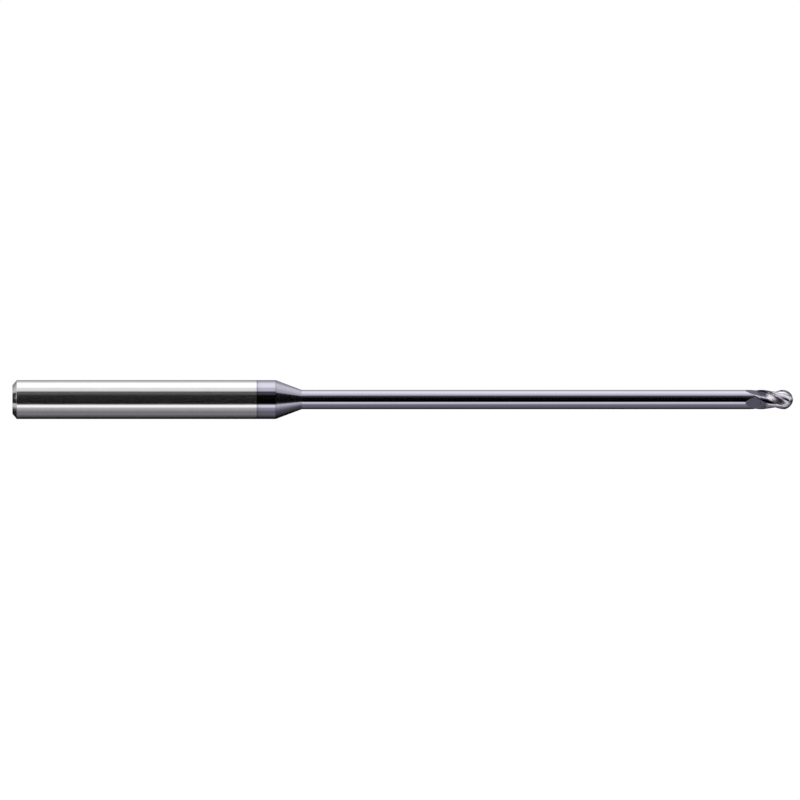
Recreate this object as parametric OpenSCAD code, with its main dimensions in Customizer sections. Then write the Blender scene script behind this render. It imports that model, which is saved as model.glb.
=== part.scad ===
// Four-flute ball nose end mill with a long reduced neck.
// Lengths in millimetres, angles in degrees.
// The tool lies along X: rear face of the shank at the origin, ball nose at +X, +Z up.

/* [Shank] */

// diameter of the shank that the collet grips
shank_d = 3.175; // [3:0.025:3.3]
// length from the rear face to the tip of the ball
overall_len = 63.5; // [58:0.5:76]
// axial length of the bevel round the rear face
rear_bevel_len = 0.36; // [0.1:0.02:0.8]
// how far that bevel comes in from the shank's side
rear_bevel_in = 0.42; // [0.1:0.02:0.8]
// length left bare, from the rear face to where the coating begins
bare_len = 19.86; // [12:0.1:20.5]
// full length of the shank, up to the start of the cone
shank_len = 21.42; // [21:0.1:28]

/* [Neck] */

// diameter of the neck, just under the cutting diameter
neck_d = 1.58; // [1.4:0.01:1.58]
// slope of the cone's side from the axis
cone_angle = 20.6; // [12:0.2:40]

/* [Cutting head] */

// cutting diameter, which is also the ball's diameter
cutter_d = 1.5875; // [1.5815:0.006:1.8]
// length of cut, from the tip back to the step down to the neck
cut_len = 2.36; // [1.8:0.05:3]
// radius of the small flat where the edges meet at the tip
tip_flat_r = 0.05; // [0.03:0.01:0.1]

/* [Flutes] */

// helix angle of the cutting edges
helix_angle = 32; // [25:1:38]
// turn of the first edge about the axis, measured at the tip from +Y towards +Z
tip_phase = 299.5; // [270:0.5:330]
// distance of the flute floor from the axis, as a share of the cutting radius
floor_share = 0.66; // [0.58:0.01:0.7]
// distance from the tip at which a flute leaves the neck's surface
exit_len = 3.88; // [3.6:0.02:4.2]
// slope from the axis of the flat on which a flute leaves
exit_slope = 12.5; // [10:0.5:16]
// turn of the first flat about the axis, measured from +Y towards +Z
exit_phase = 113; // [105:1:120]

/* [Build] */

// piece to build, or all of them

/* [Hidden] */

$fn = 96;

shank_r = shank_d / 2;
neck_r = neck_d / 2;
cutter_r = cutter_d / 2;
cone_len = (shank_r - neck_r) / tan(cone_angle);
cone_end = shank_len + cone_len;

// the head begins just behind the flute exits
exit_margin = 0.04;
head_len = exit_len + exit_margin;
neck_end = overall_len - head_len;

flute_count = 4;
tooth_pitch = 360 / flute_count;
turn_per_mm = tan(helix_angle) / cutter_r * 180 / PI;

bare_color = [0.66, 0.66, 0.67];
coated_color = [0.36, 0.34, 0.42];

// Outline of one tooth across the axis.
// Each point is [share of the cutting radius, degrees behind the edge,
// degrees behind the edge where the flute runs out].
// From the root of the rake face, over the edge and the two relieved lands, down the heel.
root_share = floor_share + 0.02;
tooth_outline = [
    [root_share, -5, -5],
    [0.745, -0.5, -3.5],
    [0.86, 1.6, -2],
    [1.00, 0, 0],
    [0.978, 7.5, 7.5],
    [0.932, 19, 19],
    [0.878, 30, 30],
    [0.838, 35, 35],
    [0.80, 40, 40],
    [0.76, 46, 46],
    [floor_share + 0.062, 52, 52],
    [floor_share + 0.032, 58, 58]
];

// Outline of the flute floor, from one heel to the root of the next rake face.
floor_outline = [
    [floor_share + 0.032, 58, 58],
    [floor_share + 0.012, 64, 64],
    [floor_share, 71, 71],
    [floor_share + 0.004, 78, 78],
    [root_share, tooth_pitch - 5, tooth_pitch - 5]
];

// Sections of the head, as distances from the tip: back to front.
ball_steps = [0.80, 0.66, 0.54, 0.43, 0.33, 0.245, 0.17, 0.11, 0.06, 0.025];
step_gap = 0.03;
exit_count = 28;
side_count = 13;
exit_steps = [
    for (i = [0 : exit_count]) head_len + (cut_len + step_gap - head_len) * i / exit_count
];
side_steps = [
    for (i = [0 : side_count]) cut_len + (cutter_r - cut_len) * i / side_count
];
ball_part = [for (s = ball_steps) if (s < cutter_r) s];
sections = concat(exit_steps, side_steps, ball_part, [0]);

// Distances from the tip between which the flats take over from the helical flutes.
flat_gone = 1.9;
flat_full = 2.6;

// Distances from the tip between which the heels sink under the flats,
// and between which the relief of the lands fades into the neck.
heel_full = 2.65;
heel_gone = 2.9;
sunk_share = 0.5;
relief_full = 3.05;
relief_gone = 3.35;

// Degrees behind the edge at which the rake face has ended, and at which the land ends.
rake_end = 5;
land_end = 30;

// A flat that leans further from a point than this doesn't reach it.
widest_lean = 85;

// Heights of the flat at the edge, as shares of the cutting radius, between which
// it takes the undercut of the rake face away.
cover_from = 0.55;
cover_to = 0.9;

// A smooth step from 0 at a to 1 at b.
function step_up(x, a, b) =
    let (t = min(1, max(0, (x - a) / (b - a))))
    t * t * (3 - 2 * t);

// Outer radius at a distance s from the tip.
function envelope(s) =
    s <= 0 ? tip_flat_r
    : s < cutter_r ? sqrt(cutter_r * cutter_r - pow(cutter_r - s, 2))
    : s <= cut_len ? cutter_r
    : neck_r;
function full_radius(s) = s > cut_len ? cutter_r : envelope(s);

// Turn about the axis of the edge of one tooth.
function edge_turn(s, number) = tip_phase - s * turn_per_mm - number * tooth_pitch;

// A flute leaves on a flat that rises towards the neck and always faces the same way.
function flat_height(s) = neck_r - (exit_len - s) * tan(exit_slope);

// Distance from the axis at which a line in the direction of turn meets the flat.
function flat_reach(s, turn, number) =
    let (lean = abs(turn - (exit_phase - number * tooth_pitch)))
    lean > widest_lean ? 2 * neck_r : max(0, flat_height(s)) / cos(lean);

// Points ahead of the edge lie in the flute of the tooth before.
function flute_number(point, number) = point[2] < 0 ? number - 1 : number;

// Radius of a point on the relieved land, and of any other point, without the flats.
function land_reach(s, point) =
    (point[0] + (1 - point[0]) * step_up(s, relief_full, relief_gone)) * full_radius(s);
function flute_reach(s, point) =
    let (left = point[1] > land_end ? 1 - step_up(s, heel_full, heel_gone) : 1)
    (sunk_share + (point[0] - sunk_share) * left) * full_radius(s);

// A flat cuts the land down and fills the helical flute up.
function point_radius(s, point, turn, number) =
    let (
        outer = envelope(s),
        flat = flat_reach(s, turn, flute_number(point, number)),
        low = min(outer, flute_reach(s, point))
    )
    point[1] == 0 ? outer
    : point[1] > rake_end && point[1] <= land_end ? min(outer, flat, land_reach(s, point))
    : low + max(0, min(outer, flat) - low) * step_up(s, flat_gone, flat_full);

// The undercut of the rake face fades out where the flat covers it.
function fade(s, number) =
    step_up(s, flat_gone, flat_full)
    * step_up(flat_reach(s, edge_turn(s, number), number - 1) / cutter_r, cover_from, cover_to);

function section_point(s, point, number) =
    let (
        behind = point[1] + (point[2] - point[1]) * fade(s, number),
        turn = edge_turn(s, number) - behind,
        r = point_radius(s, point, turn, number)
    )
    [-s, r * cos(turn), r * sin(turn)];

// Faces of a body swept through rings of points, with the chosen diagonal.
function sweep_faces(rings, count, crossed) = concat(
    [[for (j = [0 : count - 1]) count - 1 - j]],
    [[for (j = [0 : count - 1]) (rings - 1) * count + j]],
    [
        for (i = [0 : rings - 2])
            for (j = [0 : count - 1])
                let (
                    k = (j + 1) % count,
                    a = i * count + j,
                    b = i * count + k,
                    c = (i + 1) * count + k,
                    d = (i + 1) * count + j
                )
                each (crossed ? [[a, b, d], [b, c, d]] : [[a, b, c], [a, c, d]])
    ]
);

module head_sweep(points, count, crossed) {
    translate([overall_len, 0, 0])
        polyhedron(points, sweep_faces(len(sections), count, crossed), convexity = 8);
}

module along_x(start) {
    translate([start, 0, 0])
        rotate([0, 90, 0])
            children();
}

// Ground bar that the collet grips, with the bevel round its rear face.
module shank() {
    color(bare_color)
        along_x(0)
            rotate_extrude()
                polygon([
                    [0, 0],
                    [shank_r - rear_bevel_in, 0],
                    [shank_r, rear_bevel_len],
                    [shank_r, bare_len],
                    [0, bare_len]
                ]);
}

// Front end of the shank, where the coating begins.
module shank_coated_band() {
    color(coated_color)
        along_x(bare_len)
            cylinder(h = shank_len - bare_len, r = shank_r);
}

// Cone from the shank down to the neck.
module neck_cone() {
    color(coated_color)
        along_x(shank_len)
            cylinder(h = cone_len, r1 = shank_r, r2 = neck_r);
}

// Long slim neck that reaches into the pocket behind the cutting head.
module neck() {
    color(coated_color)
        along_x(cone_end)
            cylinder(h = neck_end - cone_end, r = neck_r);
}

// Web of the cutting head: the flute floors, from the exits to the tip.
module flute_core() {
    points = [
        for (s = sections)
            for (number = [0 : flute_count - 1])
                for (point = floor_outline)
                    section_point(s, point, number)
    ];
    color(coated_color)
        head_sweep(points, flute_count * len(floor_outline), false);
}

// One helical tooth: rake face, cutting edge, relieved land and heel.
module tooth(number) {
    points = [
        for (s = sections)
            for (point = tooth_outline)
                section_point(s, point, number)
    ];
    color(coated_color)
        head_sweep(points, len(tooth_outline), true);
}

module tooth_1() {
    tooth(0);
}

module tooth_2() {
    tooth(1);
}

module tooth_3() {
    tooth(2);
}

module tooth_4() {
    tooth(3);
}

shank();
shank_coated_band();
neck_cone();
neck();
flute_core();
tooth_1();
tooth_2();
tooth_3();
tooth_4();
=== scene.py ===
import math

import bpy
import numpy as np
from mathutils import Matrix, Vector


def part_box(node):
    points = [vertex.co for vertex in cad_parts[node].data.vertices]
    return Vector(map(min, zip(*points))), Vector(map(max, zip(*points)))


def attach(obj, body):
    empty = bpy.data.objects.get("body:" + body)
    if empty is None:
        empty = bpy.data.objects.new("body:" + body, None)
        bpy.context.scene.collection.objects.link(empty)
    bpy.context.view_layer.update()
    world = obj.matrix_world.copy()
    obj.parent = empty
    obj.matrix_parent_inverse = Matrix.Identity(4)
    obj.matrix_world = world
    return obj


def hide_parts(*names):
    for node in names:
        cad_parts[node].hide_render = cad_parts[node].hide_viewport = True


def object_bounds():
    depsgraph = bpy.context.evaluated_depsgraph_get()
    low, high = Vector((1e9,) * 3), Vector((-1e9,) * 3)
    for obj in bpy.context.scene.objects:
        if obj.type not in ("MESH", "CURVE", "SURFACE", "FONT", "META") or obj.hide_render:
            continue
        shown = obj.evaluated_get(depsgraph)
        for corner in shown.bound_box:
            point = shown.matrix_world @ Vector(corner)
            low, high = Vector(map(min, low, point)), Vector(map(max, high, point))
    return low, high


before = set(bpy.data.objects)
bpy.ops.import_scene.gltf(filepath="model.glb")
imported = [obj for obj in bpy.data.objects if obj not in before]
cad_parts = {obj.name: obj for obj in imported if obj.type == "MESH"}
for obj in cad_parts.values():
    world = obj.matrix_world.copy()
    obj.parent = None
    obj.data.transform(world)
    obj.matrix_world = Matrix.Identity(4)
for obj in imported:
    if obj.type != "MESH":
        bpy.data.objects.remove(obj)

# Ball nose end mill lying along X on a pale bench: shank at the origin, ball at +X.
# Everything is in metres in the CAD frame.

CAD_LOW, CAD_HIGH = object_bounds()
MM = 0.001
BODY = "root"


# ---------------------------------------------------------------- sizes from the frame

def span_x(node):
    low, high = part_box(node)
    return low.x, high.x


def radius_of(node):
    low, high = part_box(node)
    return (high.z - low.z) / 2


REAR_X, BARE_END = span_x("shank")
BAND_END = span_x("shank_coated_band")[1]
CONE_END = span_x("neck_cone")[1]
NECK_END = span_x("neck")[1]
TIP_X = span_x("flute_core")[1]
SHANK_R = radius_of("shank")
NECK_R = radius_of("neck")

BEVEL_LEN = 0.36 * MM
BEVEL_IN = 0.42 * MM
SHARP_ANGLE = math.radians(35)


# ---------------------------------------------------------------- meshes

def add_piece(name, points, faces, material, nodes, corner_normals=None, flat_faces=()):
    """A piece of the tool, parented to the body's empty, standing for its CAD nodes."""
    mesh = bpy.data.meshes.new(name)
    mesh.from_pydata([tuple(p) for p in points], [], [tuple(f) for f in faces])
    mesh.validate()
    mesh.update()
    smooth = np.ones(len(mesh.polygons), bool)
    smooth[list(flat_faces)] = False
    mesh.polygons.foreach_set("use_smooth", smooth)
    if corner_normals is None:
        mesh.set_sharp_from_angle(angle=SHARP_ANGLE)
    else:
        mesh.normals_split_custom_set([tuple(n) for n in corner_normals])
    mesh.materials.append(material)
    piece = bpy.data.objects.new(name, mesh)
    bpy.context.scene.collection.objects.link(piece)
    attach(piece, BODY)
    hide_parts(*nodes)
    return piece


def arc_corner(before, corner, after, radius, steps=5):
    """Points that round a corner of a profile with a small arc."""
    b, c, a = (np.array(p, float) for p in (before, corner, after))
    to_b, to_a = (b - c) / np.linalg.norm(b - c), (a - c) / np.linalg.norm(a - c)
    half = math.acos(float(np.clip(to_b @ to_a, -1, 1))) / 2
    back = radius / math.tan(half)
    centre = c + (to_b + to_a) / np.linalg.norm(to_b + to_a) * (radius / math.sin(half))
    start, end = c + to_b * back - centre, c + to_a * back - centre
    turn = math.atan2(start[0] * end[1] - start[1] * end[0], float(start @ end))
    found = []
    for k in range(steps + 1):
        t = turn * k / steps
        found.append(centre + np.array([
            start[0] * math.cos(t) - start[1] * math.sin(t),
            start[0] * math.sin(t) + start[1] * math.cos(t),
        ]))
    return found


def rounded_profile(corners, radii):
    """Profile of (x, r) corners, each rounded by its radius, 0 for a sharp one."""
    found = []
    for k, (corner, radius) in enumerate(zip(corners, radii)):
        if radius:
            found += arc_corner(corners[k - 1], corner, corners[k + 1], radius)
        else:
            found.append(np.array(corner, float))
    return found


def lathe(name, profile, material, nodes, around=256, stretch=1.2 * MM):
    """Closed solid of revolution round X, from its rear cap to its front cap."""
    rows = [profile[0]]
    for p in profile[1:]:
        gap = np.linalg.norm(p - rows[-1])
        parts = max(1, math.ceil(gap / stretch))
        rows += [rows[-1] + (p - rows[-1]) * k / parts for k in range(1, parts + 1)]
    turns = np.linspace(0, 2 * math.pi, around, endpoint=False)
    points, faces = [], []
    for x, r in rows:
        points += [(x, r * math.cos(t), r * math.sin(t)) for t in turns]
    for i in range(len(rows) - 1):
        for j in range(around):
            k = (j + 1) % around
            a, b = i * around, (i + 1) * around
            faces.append((a + j, a + k, b + k, b + j))
    walls = len(faces)
    for row, x, forward in ((0, rows[0][0], False), (len(rows) - 1, rows[-1][0], True)):
        centre = len(points)
        points.append((x, 0, 0))
        for j in range(around):
            k = (j + 1) % around
            ring = (row * around + j, row * around + k)
            faces.append((centre, *(ring if forward else ring[::-1])))
    caps = range(walls, len(faces))
    return add_piece(name, points, faces, material, nodes, flat_faces=caps)


# ---------------------------------------------------------------- cutting head

CUTTER_R = 1.5875 * MM / 2
CUT_LEN = 2.36 * MM
TIP_FLAT_R = 0.03 * MM
HELIX = math.radians(32)
TIP_PHASE = 299.5
FLOOR = 0.66
EXIT_LEN = 3.88 * MM
EXIT_SLOPE = math.radians(12.5)
EXIT_PHASE = 113
TEETH = 4
PITCH = 360 / TEETH
HEAD_LEN = TIP_X - NECK_END
TURN_PER_M = math.degrees(math.tan(HELIX) / CUTTER_R)

# Distances from the tip over which the flats take over from the flutes, over which the
# heels sink under the flats, and over which the relief of the lands fades into the neck.
FLAT_GONE, FLAT_FULL = 1.9 * MM, 2.6 * MM
HEEL_FULL, HEEL_GONE = 2.65 * MM, 2.9 * MM
RELIEF_FULL, RELIEF_GONE = 3.05 * MM, 3.35 * MM
SUNK_SHARE = 0.5

# The widest lean at which a flat still counts, and the degrees behind the edge at which
# the rake face has ended and at which the land ends.
WIDEST_LEAN = 85
RAKE_END, LAND_END = 5, 30

# Heights of the flat at the edge, as shares of the cutting radius, between which it
# takes the undercut of the rake face away.
COVER_FROM, COVER_TO = 0.55, 0.9

# Where the dull finish of a flat sets in: depth under the outer surface, degrees of lean
# from the flat and distance from the tip. Where the flutes' grinding and their painted
# lightening set in: share of the cutting radius.
DEPTH_FROM, DEPTH_TO = 0.0005 * MM, 0.004 * MM
LEAN_FROM, LEAN_TO = 50, 62
DULL_FROM, DULL_TO = 1.95 * MM, 2.3 * MM
GROUND_AND_PAINTED_LIGHT_FROM, GROUND_AND_PAINTED_LIGHT_TO = 0.93, 0.87

# Number of sections along the flute exits, the straight teeth and the ball, and the gap
# between the exits and the full diameter.
EXIT_SECTIONS, SIDE_SECTIONS, BALL_SECTIONS = 150, 64, 48
STEP_GAP = 0.03 * MM

# One tooth across the axis, from the root of its rake face round to the next root.
# Each point: share of the cutting radius, degrees behind the edge, the same where
# the flute runs out, and how many steps lead to the next one.
OUTLINE = [
    (FLOOR + 0.020, -5.0, -5.0, 5),
    (0.745, -0.5, -3.5, 4),
    (0.860, 1.6, -2.0, 5),
    (1.000, 0.0, 0.0, 6),
    (0.978, 7.5, 7.5, 7),
    (0.932, 19.0, 19.0, 7),
    (0.878, 30.0, 30.0, 4),
    (0.838, 35.0, 35.0, 4),
    (0.800, 40.0, 40.0, 4),
    (0.760, 46.0, 46.0, 4),
    (FLOOR + 0.062, 52.0, 52.0, 4),
    (FLOOR + 0.032, 58.0, 58.0, 4),
    (FLOOR + 0.012, 64.0, 64.0, 4),
    (FLOOR, 71.0, 71.0, 4),
    (FLOOR + 0.004, 78.0, 78.0, 4),
]
CREASES = (3, 4, 6)
ROOT, HEEL_FOOT = 0, 11
AHEAD_COLUMNS = sum(point[3] for point in OUTLINE[:CREASES[0]])


def smooth_between(a, b, c, d, t):
    """Catmull-Rom point between b and c."""
    return 0.5 * (
        2 * b + (c - a) * t + (2 * a - 5 * b + 4 * c - d) * t * t
        + (3 * b - a - 3 * c + d) * t ** 3
    )


def fine_outline():
    """The outline with extra points: curved, but straight beside a crease."""
    count = len(OUTLINE)
    knots = [np.array(p[:3]) for p in OUTLINE]

    def knot(k):
        return knots[k % count] + np.array([0, PITCH, PITCH]) * (k // count)

    found, creases, marks = [], [], {}
    for k in range(count):
        marks[k] = len(found)
        if k in CREASES:
            creases.append(len(found))
        b, c = knot(k), knot(k + 1)
        a = 2 * b - c if k in CREASES else knot(k - 1)
        d = 2 * c - b if k + 1 in CREASES else knot(k + 2)
        steps = OUTLINE[k][3]
        for i in range(steps):
            found.append(smooth_between(a, b, c, d, i / steps))
    return np.array(found), creases, marks


def envelope(s):
    if s < CUTTER_R:
        return max(TIP_FLAT_R, math.sqrt(max(0, CUTTER_R ** 2 - (CUTTER_R - s) ** 2)))
    return CUTTER_R if s <= CUT_LEN else NECK_R


def step_up(x, a, b):
    """A smooth step from 0 at a to 1 at b."""
    t = np.clip((x - a) / (b - a), 0, 1)
    return t * t * (3 - 2 * t)


def flat_height(s):
    return max(0, NECK_R - (EXIT_LEN - s) * math.tan(EXIT_SLOPE))


def lean_from_flat(turn, flute):
    """Degrees between a direction and the one that the flat of a flute faces."""
    return np.abs(turn - (EXIT_PHASE - flute * PITCH))


def flat_reach(s, turn, flute):
    """Distance from the axis, in the direction of turn, of the flat a flute leaves on."""
    lean = lean_from_flat(turn, flute)
    reach = flat_height(s) / np.cos(np.radians(np.minimum(lean, WIDEST_LEAN)))
    return np.where(lean > WIDEST_LEAN, 2 * NECK_R, reach)


def snap_to_flat(s, turn, top, flute, allowed):
    """Moves the nearest point of a section onto each border of the flat; says which."""
    moved = np.zeros(len(turn), bool)
    gap = flat_reach(s, turn, flute) - top
    for k in np.nonzero((gap[1:] > 0) != (gap[:-1] > 0))[0]:
        part = gap[k] / (gap[k] - gap[k + 1])
        nearest = k + int(part > 0.5)
        if allowed[k] and allowed[k + 1] and allowed[nearest]:
            turn[nearest] = turn[k] + (turn[k + 1] - turn[k]) * part
            moved[nearest] = True
    return moved


def head_sections():
    """Distances from the tip, from the neck to the tip."""
    exits = np.linspace(HEAD_LEN, CUT_LEN + STEP_GAP, EXIT_SECTIONS)
    sides = np.linspace(CUT_LEN, CUTTER_R, SIDE_SECTIONS)
    ball = CUTTER_R * (1 - np.sin(np.linspace(0, math.pi / 2, BALL_SECTIONS)[1:]))
    return np.concatenate([exits, sides, ball])


def turned(points, degrees):
    """Points turned about the X axis, from +Y towards +Z."""
    c, s = np.cos(np.radians(degrees)), np.sin(np.radians(degrees))
    x, y, z = points.T
    return np.column_stack([x, y * c - z * s, y * s + z * c])


def head_grid():
    """Points of the whole head, how they are ground and where the flutes get painted light,
    and what surface each lies on.
    """
    outline, creases, marks = fine_outline()
    share, behind_edge, behind_exit = outline.T
    per_tooth = len(outline)
    ahead = behind_exit < 0
    on_land = (behind_edge > RAKE_END) & (behind_edge <= LAND_END)
    edge = creases[0]
    can_move = behind_edge > RAKE_END
    can_move[creases] = can_move[-1] = False
    sections = head_sections()
    grid = np.zeros((len(sections), TEETH * per_tooth, 3))
    grinds = {
        "flute_grind_and_painted_light": np.zeros(grid.shape[:2]),
        "flattened": np.zeros(grid.shape[:2]),
        "untwisted": np.zeros(grid.shape),
    }
    kinds = {kind: np.zeros(grid.shape[:2], bool) for kind in ("skin", "flat", "border")}
    for i, s in enumerate(sections):
        outer = envelope(s)
        full = CUTTER_R if s > CUT_LEN else outer
        taken = step_up(s, FLAT_GONE, FLAT_FULL)
        left = np.where(behind_edge > LAND_END, 1 - step_up(s, HEEL_FULL, HEEL_GONE), 1)
        low = np.minimum(outer, (SUNK_SHARE + (share - SUNK_SHARE) * left) * full)
        land = (share + (1 - share) * step_up(s, RELIEF_FULL, RELIEF_GONE)) * full
        for tooth in range(TEETH):
            edge_turn = TIP_PHASE - s * TURN_PER_M - tooth * PITCH
            cover = flat_reach(s, edge_turn, tooth - 1) / CUTTER_R
            fade = taken * step_up(cover, COVER_FROM, COVER_TO)
            behind = behind_edge + (behind_exit - behind_edge) * fade
            turn = edge_turn - behind
            block = slice(tooth * per_tooth, (tooth + 1) * per_tooth)
            top = np.where(on_land, np.minimum(outer, land), outer)
            moved = snap_to_flat(s, turn, top, tooth, can_move & (on_land | (s > HEEL_GONE)))
            kinds["border"][i, block] = moved
            flute = tooth - ahead
            reach = flat_reach(s, turn, flute)
            r = low + np.maximum(0, np.minimum(outer, reach) - low) * taken
            r = np.where(on_land, np.minimum(np.minimum(outer, reach), land), r)
            r = np.where(moved, np.minimum(outer, reach), r)
            r[edge] = outer
            grid[i, block, 0] = TIP_X - s
            grid[i, block, 1] = r * np.cos(np.radians(turn))
            grid[i, block, 2] = r * np.sin(np.radians(turn))
            below = step_up(outer - r, DEPTH_FROM, DEPTH_TO)
            near_flat = 1 - step_up(lean_from_flat(turn, flute), LEAN_FROM, LEAN_TO)
            flat_here = (np.abs(r - reach) < 1e-9) & (r < outer) & ~moved
            kinds["flat"][i, block] = flat_here
            kinds["skin"][i, block] = r >= outer - 1e-9
            matte = below * near_flat * step_up(s, DULL_FROM, DULL_TO)
            grinds["flattened"][i, block] = np.where(on_land & ~flat_here, 0, matte)
            # Deeper points get the flutes' grinding and also their painted lightening.
            grinds["flute_grind_and_painted_light"][i, block] = below * step_up(share, GROUND_AND_PAINTED_LIGHT_FROM, GROUND_AND_PAINTED_LIGHT_TO)
            grinds["untwisted"][i, block] = turned(grid[i, block], s * TURN_PER_M)
    crease_columns = {t * per_tooth + c for t in range(TEETH) for c in creases}
    return grid, grinds, kinds, crease_columns, marks, per_tooth


def unit(v):
    return v / np.maximum(np.linalg.norm(v, axis=-1, keepdims=True), 1e-30)


def side_normals(grid, creases):
    """Normals of the grid's points as their left and right faces see them."""
    beside = np.roll(grid, -1, axis=1)
    face = np.cross(grid[1:] - beside[:-1], beside[1:] - grid[:-1])
    face = unit(face)
    rows, columns = grid.shape[:2]
    right = np.zeros((rows, columns, 3))
    right[:-1] += face
    right[1:] += face
    left = np.roll(right, 1, axis=1)
    both = unit(left + right)
    for c in range(columns):
        if c in creases:
            both_left, both_right = unit(left[:, c]), unit(right[:, c])
        else:
            both_left = both_right = both[:, c]
        left[:, c], right[:, c] = both_left, both_right
    return left, right


def flat_normal(flute):
    """The way the flat of a flute faces."""
    turn = math.radians(EXIT_PHASE - flute * PITCH)
    across = math.cos(EXIT_SLOPE)
    return np.array([math.sin(EXIT_SLOPE), across * math.cos(turn), across * math.sin(turn)])


def outer_face(corners, points, kinds, soft, dull, flute):
    """Normals of one outer face, exact on a flat or on the neck, and how dull it is.

    A corner on a border takes both from the other corners of its own face.
    """
    border = [kinds["border"][c] for c in corners]
    inner = [c for c, on_border in zip(corners, border) if not on_border]
    inner_dull = float(np.mean([dull[c] for c in inner])) if inner else 0.0
    dulls = [inner_dull if b else float(dull[c]) for b, c in zip(border, corners)]
    if inner and all(kinds["flat"][c] for c in inner):
        return [flat_normal(flute)] * len(corners), dulls
    if all(kinds["skin"][c] for c in corners) and points[corners[0]][0] < TIP_X - CUT_LEN:
        return [unit(points[c] * np.array([0, 1, 1])) for c in corners], [0.0] * len(corners)
    shared = unit(sum(soft[c] for c in inner)) if inner else None
    return [shared if b and inner else soft[c] for b, c in zip(border, corners)], dulls


def head_piece(name, grid, grinds, kinds, left, right, strips, seams, material, nodes):
    """Closed piece of the head: outer strips of columns, inner seams and two ends."""
    rows = len(grid)
    columns = grid.shape[1]
    used = []
    for j in strips:
        used += [j, (j + 1) % columns]
    used = sorted(set(used))
    place = {c: k for k, c in enumerate(used)}
    width = len(used)
    points = grid[:, used].reshape(-1, 3)
    per_tooth = columns // TEETH
    flute_of = {j: j // per_tooth - (j % per_tooth < AHEAD_COLUMNS) for j in strips}
    faces, normals, dulls = [], [], []
    border = kinds["border"]
    for i in range(rows - 1):
        for j in strips:
            k = (j + 1) % columns
            quad = ((i, j), (i + 1, j), (i + 1, k), (i, k))
            soft = {(i, j): right[i, j], (i + 1, j): right[i + 1, j],
                    (i + 1, k): left[i + 1, k], (i, k): left[i, k]}
            parts = [quad]
            if border[quad[0]] and border[quad[2]]:
                parts = [(quad[0], quad[1], quad[2]), (quad[0], quad[2], quad[3])]
            elif border[quad[1]] and border[quad[3]]:
                parts = [(quad[0], quad[1], quad[3]), (quad[1], quad[2], quad[3])]
            for part in parts:
                faces.append(tuple(row * width + place[column] for row, column in part))
                found = outer_face(part, grid, kinds, soft, grinds["flattened"], flute_of[j])
                normals += found[0]
                dulls += found[1]
    flat = len(faces)
    for i in range(rows - 1):
        for j, k in seams:
            a, b = i * width + place[j], i * width + place[k]
            for tri in ((a, a + width, b + width), (a, b + width, b)):
                faces.append(tri)
                p = points[list(tri)]
                n = unit(np.cross(p[1] - p[0], p[2] - p[0]))
                normals += [n] * 3
    # The ends: one loop of columns round the strips and back along the seams.
    loop, ring = strips[0], []
    order = {j: (j + 1) % columns for j in strips}
    order.update({j: k for j, k in seams})
    here = loop
    while True:
        ring.append(place[here])
        here = order[here]
        if here == loop:
            break
    last = (rows - 1) * width
    faces.append(tuple(ring))
    normals += [np.array([-1.0, 0, 0])] * len(ring)
    faces.append(tuple(last + p for p in ring[::-1]))
    normals += [np.array([1.0, 0, 0])] * len(ring)
    piece = add_piece(name, points, faces, material, nodes, normals,
                      range(flat, len(faces)))
    dulls += [0.0] * (len(normals) - len(dulls))
    for label, kind, domain, field, values in (
        ("flute_grind_and_painted_light", "FLOAT", "POINT", "value", grinds["flute_grind_and_painted_light"][:, used].ravel()),
        ("untwisted", "FLOAT_VECTOR", "POINT", "vector", grinds["untwisted"][:, used].ravel()),
        ("flattened", "FLOAT", "CORNER", "value", dulls),
    ):
        layer = piece.data.attributes.new(label, kind, domain)
        layer.data.foreach_set(field, values)


def make_head(material):
    grid, grinds, kinds, creases, marks, per_tooth = head_grid()
    left, right = side_normals(grid, creases)
    columns = grid.shape[1]
    root, foot = marks[ROOT], marks[HEEL_FOOT]
    for t in range(TEETH):
        first = t * per_tooth
        strips = list(range(first + root, first + foot))
        head_piece(f"cutting_tooth_{t + 1}", grid, grinds, kinds, left, right, strips,
                   [(first + foot, first + root)], material, [f"tooth_{t + 1}"])
    strips, seams = [], []
    for t in range(TEETH):
        first = t * per_tooth
        strips += list(range(first + foot, first + per_tooth))
        seams.append((first % columns, first + foot))
    head_piece("flute_web", grid, grinds, kinds, left, right, strips, seams, material,
               ["flute_core"])


# ---------------------------------------------------------------- materials

def new_material(name):
    material = bpy.data.materials.new(name)
    material.use_nodes = True
    tree = material.node_tree
    tree.nodes.clear()
    out = tree.nodes.new("ShaderNodeOutputMaterial")
    shader = tree.nodes.new("ShaderNodeBsdfPrincipled")
    tree.links.new(shader.outputs["BSDF"], out.inputs["Surface"])
    return material, tree, shader


def ramp(tree, value, stops):
    node = tree.nodes.new("ShaderNodeValToRGB")
    elements = node.color_ramp.elements
    while len(elements) > 1:
        elements.remove(elements[-1])
    elements[0].position, elements[0].color = stops[0][0], (*stops[0][1], 1)
    for position, color in stops[1:]:
        elements.new(position).color = (*color, 1)
    tree.links.new(value, node.inputs["Fac"])
    return node.outputs["Color"]


def math_node(tree, operation, a, b=0.0):
    node = tree.nodes.new("ShaderNodeMath")
    node.operation = operation
    for socket, value in zip(node.inputs, (a, b)):
        if isinstance(value, (int, float)):
            socket.default_value = value
        else:
            tree.links.new(value, socket)
    return node.outputs[0]


def object_place(tree):
    return tree.nodes.new("ShaderNodeTexCoord").outputs["Object"]


def stretched_noise(tree, scale, detail=3.0, roughness=0.55, place=None):
    """Noise with its own scale in cycles per metre on each axis."""
    mapping = tree.nodes.new("ShaderNodeMapping")
    mapping.inputs["Scale"].default_value = scale
    noise = tree.nodes.new("ShaderNodeTexNoise")
    noise.inputs["Scale"].default_value = 1.0
    noise.inputs["Detail"].default_value = detail
    noise.inputs["Roughness"].default_value = roughness
    tree.links.new(place or object_place(tree), mapping.inputs["Vector"])
    tree.links.new(mapping.outputs["Vector"], noise.inputs["Vector"])
    return noise.outputs["Fac"]


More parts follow.
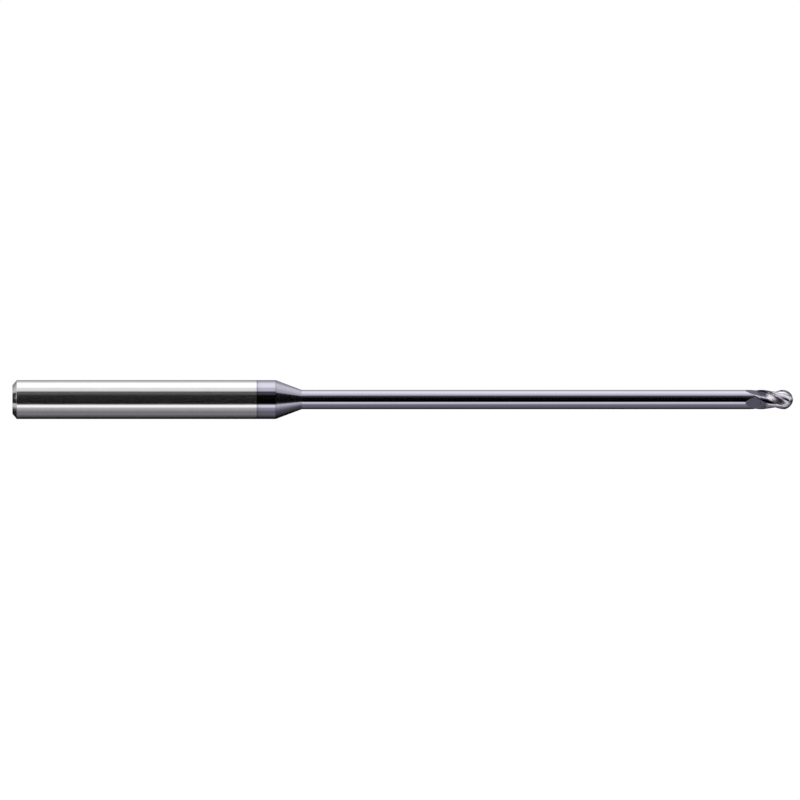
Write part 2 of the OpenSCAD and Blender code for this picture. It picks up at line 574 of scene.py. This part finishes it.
def mixed(tree, factor, a, b):
    """A colour between a and b, either of which may be a plain colour or a socket."""
    node = tree.nodes.new("ShaderNodeMix")
    node.data_type = "RGBA"
    for socket, value in ((node.inputs[0], factor), (node.inputs[6], a), (node.inputs[7], b)):
        if isinstance(value, (int, float)):
            socket.default_value = value
        elif isinstance(value, tuple):
            socket.default_value = (*value, 1)
        else:
            tree.links.new(value, socket)
    return node.outputs[2]


def map_range(tree, value, low, high, to_low, to_high):
    """Maps low..high to to_low..to_high, clamped."""
    node = tree.nodes.new("ShaderNodeMapRange")
    for name, number in (("From Min", low), ("From Max", high),
                         ("To Min", to_low), ("To Max", to_high)):
        node.inputs[name].default_value = number
    tree.links.new(value, node.inputs["Value"])
    return node.outputs["Result"]


def dark_ring(tree, color, centre, half_width, depth, waver):
    """The colour, darker in a soft, slightly wavering ring at one place along the tool."""
    split = tree.nodes.new("ShaderNodeSeparateXYZ")
    tree.links.new(object_place(tree), split.inputs["Vector"])
    wave = map_range(tree, stretched_noise(tree, (300, 1200, 1200)), 0.3, 0.7, -waver, waver)
    along = math_node(tree, "ADD", split.outputs["X"], wave)
    off = math_node(tree, "ABSOLUTE", math_node(tree, "SUBTRACT", along, centre))
    level = map_range(tree, off, 0, half_width, 1 - depth, 1.0)
    return mixed(tree, level, (0, 0, 0), color)


def ground_metal(name, color, shade, rough, mark_scale, mark_share, mark_depth,
                 metallic=1.0, rings=()):
    """Ground metal: fine marks, soft clouding, a small bump and thin dark rings."""
    material, tree, shader = new_material(name)
    marks = stretched_noise(tree, mark_scale, detail=4.0, roughness=0.7)
    clouds = stretched_noise(tree, (900, 1400, 1400), detail=3.0)
    tone = math_node(tree, "ADD", math_node(tree, "MULTIPLY", marks, mark_share),
                     math_node(tree, "MULTIPLY", clouds, 1 - mark_share))
    dark = tuple(c * shade for c in color)
    base = ramp(tree, tone, [(0.3, dark), (0.7, color)])
    for ring in rings:
        base = dark_ring(tree, base, *ring)
    tree.links.new(base, shader.inputs["Base Color"])
    shader.inputs["Metallic"].default_value = metallic
    roughness = map_range(tree, tone, 0.25, 0.75, rough[0], rough[1])
    tree.links.new(roughness, shader.inputs["Roughness"])
    add_bump(tree, shader, marks, mark_depth)
    return material


def add_bump(tree, shader, height, depth):
    bump = tree.nodes.new("ShaderNodeBump")
    bump.inputs["Strength"].default_value = 1.0
    bump.inputs["Distance"].default_value = depth
    tree.links.new(height, bump.inputs["Height"])
    tree.links.new(bump.outputs["Normal"], shader.inputs["Normal"])


def attribute(tree, name, output="Fac"):
    node = tree.nodes.new("ShaderNodeAttribute")
    node.attribute_name = name
    return node.outputs[output]


def head_metal():
    """Coated head: polished lands, flutes ground along the helix and lightened with painted
    light, dull flats.
    """
    material, tree, shader = new_material("coated_carbide_head")
    flute_grind_and_painted_light, flattened = attribute(tree, "flute_grind_and_painted_light"), attribute(tree, "flattened")
    marks = stretched_noise(tree, HELIX_MARKS, detail=4.0, roughness=0.7,
                            place=attribute(tree, "untwisted", "Vector"))
    grain = stretched_noise(tree, FLAT_GRAIN, detail=3.0, roughness=0.65)
    polished = ramp(tree, marks, [(0.3, (0.41, 0.395, 0.47)), (0.7, (0.43, 0.415, 0.49))])
    # The flutes' colour, up to nearly white, is partly real grinding streaks and partly
    # painted light that lightens the flutes.
    flute = ramp(tree, marks, [(0.35, (0.5, 0.47, 0.56)), (0.6, (0.93, 0.9, 0.95))])
    flat = ramp(tree, grain, [(0.3, (0.1, 0.092, 0.13)), (0.7, (0.175, 0.162, 0.215))])
    base = mixed(tree, flattened, mixed(tree, flute_grind_and_painted_light, polished, flute), flat)
    tree.links.new(base, shader.inputs["Base Color"])
    shader.inputs["Metallic"].default_value = 1.0
    polish = map_range(tree, flute_grind_and_painted_light, 0, 1, 0.09, 0.36)
    dull = math_node(tree, "MULTIPLY", flattened, FLAT_ROUGHNESS)
    tree.links.new(math_node(tree, "MAXIMUM", polish, dull), shader.inputs["Roughness"])
    lines = math_node(tree, "MULTIPLY", marks, map_range(tree, flute_grind_and_painted_light, 0, 1, 0.1, 0.6))
    height = math_node(tree, "ADD", lines, math_node(tree, "MULTIPLY", grain, flattened))
    add_bump(tree, shader, height, 0.2e-6)
    return material


# Scales of the marks in cycles per metre along X, Y and Z.
ROUND_MARKS = (9000, 260, 260)
CONE_MARKS = (14000, 300, 300)
END_MARKS = (300, 9000, 2500)
HELIX_MARKS = (700, 14000, 14000)
FLAT_GRAIN = (14000, 14000, 14000)
FLAT_ROUGHNESS = 0.45

BARE = ground_metal("bare_ground_carbide", (0.64, 0.635, 0.63), 0.94, (0.09, 0.15),
                    ROUND_MARKS, 0.5, 0.02e-6, metallic=0.98)
REAR_FACE = ground_metal("bare_ground_carbide_end", (0.6, 0.595, 0.59), 0.86, (0.34, 0.46),
                         END_MARKS, 0.8, 0.4e-6, metallic=0.98)
COATED = ground_metal("coated_carbide", (0.42, 0.405, 0.49), 0.95, (0.05, 0.09),
                      ROUND_MARKS, 0.5, 0.02e-6,
                      rings=[(BARE_END + 0.07 * MM, 0.13 * MM, 0.4, 0.03 * MM),
                             (BARE_END + 0.3 * MM, 0.1 * MM, 0.07, 0.06 * MM),
                             (BAND_END, 0.09 * MM, 0.3, 0.0)])
COATED_CONE = ground_metal("coated_carbide_cone", (0.415, 0.4, 0.48), 0.87, (0.09, 0.2),
                           CONE_MARKS, 0.8, 0.05e-6,
                           rings=[(BAND_END, 0.09 * MM, 0.3, 0.0)])
COATED_HEAD = head_metal()


# ---------------------------------------------------------------- pieces

EDGE = 0.03 * MM

shank_profile = rounded_profile(
    [
        (REAR_X, 0.0),
        (REAR_X, SHANK_R - BEVEL_IN),
        (REAR_X + BEVEL_LEN, SHANK_R),
        (BARE_END, SHANK_R),
    ],
    [0, EDGE, EDGE, 0],
)[1:]
shank = lathe("bare_shank", shank_profile, BARE, ["shank"])
shank.data.materials.append(REAR_FACE)
for face in shank.data.polygons:
    if face.center.x < REAR_X + 0.01 * MM:
        face.material_index = 1

band_profile = [np.array(p) for p in ((BARE_END, SHANK_R), (BAND_END, SHANK_R))]
lathe("coated_shank_band", band_profile, COATED, ["shank_coated_band"])

cone_profile = [np.array(p) for p in ((BAND_END, SHANK_R), (CONE_END, NECK_R))]
lathe("coated_cone", cone_profile, COATED_CONE, ["neck_cone"],
      stretch=0.3 * MM)

neck_profile = [np.array(p) for p in ((CONE_END, NECK_R), (NECK_END, NECK_R))]
lathe("coated_neck", neck_profile, COATED, ["neck"])

make_head(COATED_HEAD)


# ---------------------------------------------------------------- floor, light, camera

def make_floor():
    material, tree, shader = new_material("pale_bench")
    grain = stretched_noise(tree, (120, 120, 120), detail=2.0)
    tree.links.new(ramp(tree, grain, [(0.3, (0.91, 0.91, 0.91)), (0.7, (0.93, 0.93, 0.93))]),
                   shader.inputs["Base Color"])
    shader.inputs["Roughness"].default_value = 0.9
    shader.inputs["Specular IOR Level"].default_value = 0.0
    radius, around = 1.5, 96
    z = CAD_LOW.z
    points = [
        (TIP_X / 2 + radius * math.cos(2 * math.pi * k / around),
         radius * math.sin(2 * math.pi * k / around), z)
        for k in range(around)
    ]
    mesh = bpy.data.meshes.new("bench_top")
    mesh.from_pydata(points, [], [tuple(range(around))])
    mesh.materials.append(material)
    floor = bpy.data.objects.new("bench_top", mesh)
    bpy.context.scene.collection.objects.link(floor)
    floor.visible_glossy = False


# The studio that reflections see: degrees round the X axis, from the -Y side upwards,
# and how bright the light or card is there. Below that side the degrees are negative.
# The levels were set to give the bands that the polished metal shows.
STUDIO_SIDE = [
    (-180, 0.005), (-157, 0.005), (-138, 0.01), (-120, 0.11), (-108, 0.19), (-100, 0.27),
    (-90, 0.29), (-80, 0.25), (-69, 0.42), (-60, 0.56), (-53, 0.62), (-48, 1.05),
    (-44, 1.55), (-34, 1.55), (-28, 0.1), (-21, 0.0), (20, 0.002), (26, 0.012), (32, 0.1),
    (38, 0.12), (48, 0.12), (51.5, 1.08), (60, 1.15), (67, 1.05), (78, 1.6), (86, 1.8),
    (110, 1.7), (122, 1.14), (136, 0.72), (155, 0.36), (180, 0.2),
]
# The same, as seen in faces that lean towards the tip.
STUDIO_TIP = [
    (-180, 0.0), (-129, 0.003), (-107, 0.09), (-88, 0.15), (-70, 0.39), (-55, 0.74),
    (-46, 1.15), (-38, 1.15), (-30, 0.1), (-22, 0.0), (30, 0.0), (46, 0.01), (52, 0.75),
    (60, 0.95), (67, 0.85), (78, 1.2), (110, 1.3), (122, 0.9), (136, 0.55), (155, 0.25),
    (180, 0.1),
]
# What faces that lean far towards the rear see, from straight down at -1 to up at 1.
STUDIO_REAR = [
    (-1, 0.06), (-0.42, 0.1), (-0.38, 0.22), (-0.33, 0.75), (-0.21, 0.85), (-0.17, 0.005),
    (0.29, 0.005), (0.335, 0.7), (0.42, 0.85), (1, 0.85),
]
# How far along X a reflection points before it sees the tip's or the rear's studio.
TIP_FROM, TIP_TO, REAR_FROM, REAR_TO = 0.12, 0.5, -0.72, -0.88
# The rear's studio stands behind the tool's line only, this far along Y.
BEHIND_FROM, BEHIND_TO = 0.06, 0.13
SOFT_LEVEL, WHITE_LEVEL, KEY_WATTS = 1.13, 1.02, 0.01


def tint_at(degrees):
    """The cards just above the -Y side and well below it are slightly violet."""
    if degrees < -50:
        return 0.98, 0.96, 1.05
    return (1.0, 0.97, 1.1) if 22 < degrees < 50 else (1.0, 0.992, 0.98)


def round_stops(levels):
    """Ramp stops of a studio list in degrees, tinted by where they are."""
    return [((degrees + 180) / 360, tuple(level * t for t in tint_at(degrees)))
            for degrees, level in levels]


def background(tree, color, strength=1.0):
    node = tree.nodes.new("ShaderNodeBackground")
    node.inputs["Strength"].default_value = strength
    if isinstance(color, tuple):
        node.inputs["Color"].default_value = (*color, 1)
    else:
        tree.links.new(color, node.inputs["Color"])
    return node.outputs[0]


def either(tree, choice, a, b):
    """Shader a, or b where choice is 1."""
    node = tree.nodes.new("ShaderNodeMixShader")
    for socket, value in zip(node.inputs, (choice, a, b)):
        tree.links.new(value, socket)
    return node.outputs[0]


def make_world():
    """Reflections see the studio, the camera sees white, the rest is soft white light."""
    world = bpy.data.worlds.new("studio")
    bpy.context.scene.world = world
    world.use_nodes = True
    tree = world.node_tree
    tree.nodes.clear()
    out = tree.nodes.new("ShaderNodeOutputWorld")
    coords = tree.nodes.new("ShaderNodeTexCoord")
    split = tree.nodes.new("ShaderNodeSeparateXYZ")
    tree.links.new(coords.outputs["Generated"], split.inputs["Vector"])
    away = math_node(tree, "MULTIPLY", split.outputs["Y"], -1.0)
    angle = math_node(tree, "ARCTAN2", split.outputs["Z"], away)
    share = math_node(tree, "ADD", math_node(tree, "DIVIDE", angle, 2 * math.pi), 0.5)
    side = ramp(tree, share, round_stops(STUDIO_SIDE))
    tip = ramp(tree, share, round_stops(STUDIO_TIP))
    height = map_range(tree, split.outputs["Z"], -1, 1, 0, 1)
    rear = ramp(tree, height, [((z + 1) / 2, (level,) * 3) for z, level in STUDIO_REAR])
    tipward = map_range(tree, split.outputs["X"], TIP_FROM, TIP_TO, 0, 1)
    rearward = math_node(
        tree, "MULTIPLY",
        map_range(tree, split.outputs["X"], REAR_FROM, REAR_TO, 0, 1),
        map_range(tree, split.outputs["Y"], BEHIND_FROM, BEHIND_TO, 0, 1),
    )
    bands = mixed(tree, rearward, mixed(tree, tipward, side, tip), rear)
    path = tree.nodes.new("ShaderNodeLightPath")
    lit = either(tree, path.outputs["Is Glossy Ray"], background(tree, (1, 1, 1), SOFT_LEVEL),
                 background(tree, bands))
    seen = either(tree, path.outputs["Is Camera Ray"], lit,
                  background(tree, (1, 1, 1), WHITE_LEVEL))
    tree.links.new(seen, out.inputs["Surface"])


def make_key_light():
    light = bpy.data.lights.new("overhead_softbox", "AREA")
    light.shape = "RECTANGLE"
    light.size, light.size_y = 0.12, 0.05
    light.energy = KEY_WATTS
    lamp = bpy.data.objects.new("overhead_softbox", light)
    lamp.location = (TIP_X / 2, -0.02, 0.08)
    lamp.rotation_euler = (math.radians(-14), 0, 0)
    lamp.visible_glossy = False
    lamp.visible_camera = False
    bpy.context.scene.collection.objects.link(lamp)


def make_camera():
    data = bpy.data.cameras.new("side_view")
    data.type = "ORTHO"
    data.ortho_scale = 65.07 * MM
    data.clip_start, data.clip_end = 0.001, 4.0
    camera = bpy.data.objects.new("side_view", data)
    camera.location = (31.53 * MM, -0.2, -0.036 * MM)
    camera.rotation_euler = (math.radians(90), 0, 0)
    bpy.context.scene.collection.objects.link(camera)
    bpy.context.scene.camera = camera


make_floor()
make_world()
make_key_light()
make_camera()
bpy.context.scene.view_settings.view_transform = "Standard"
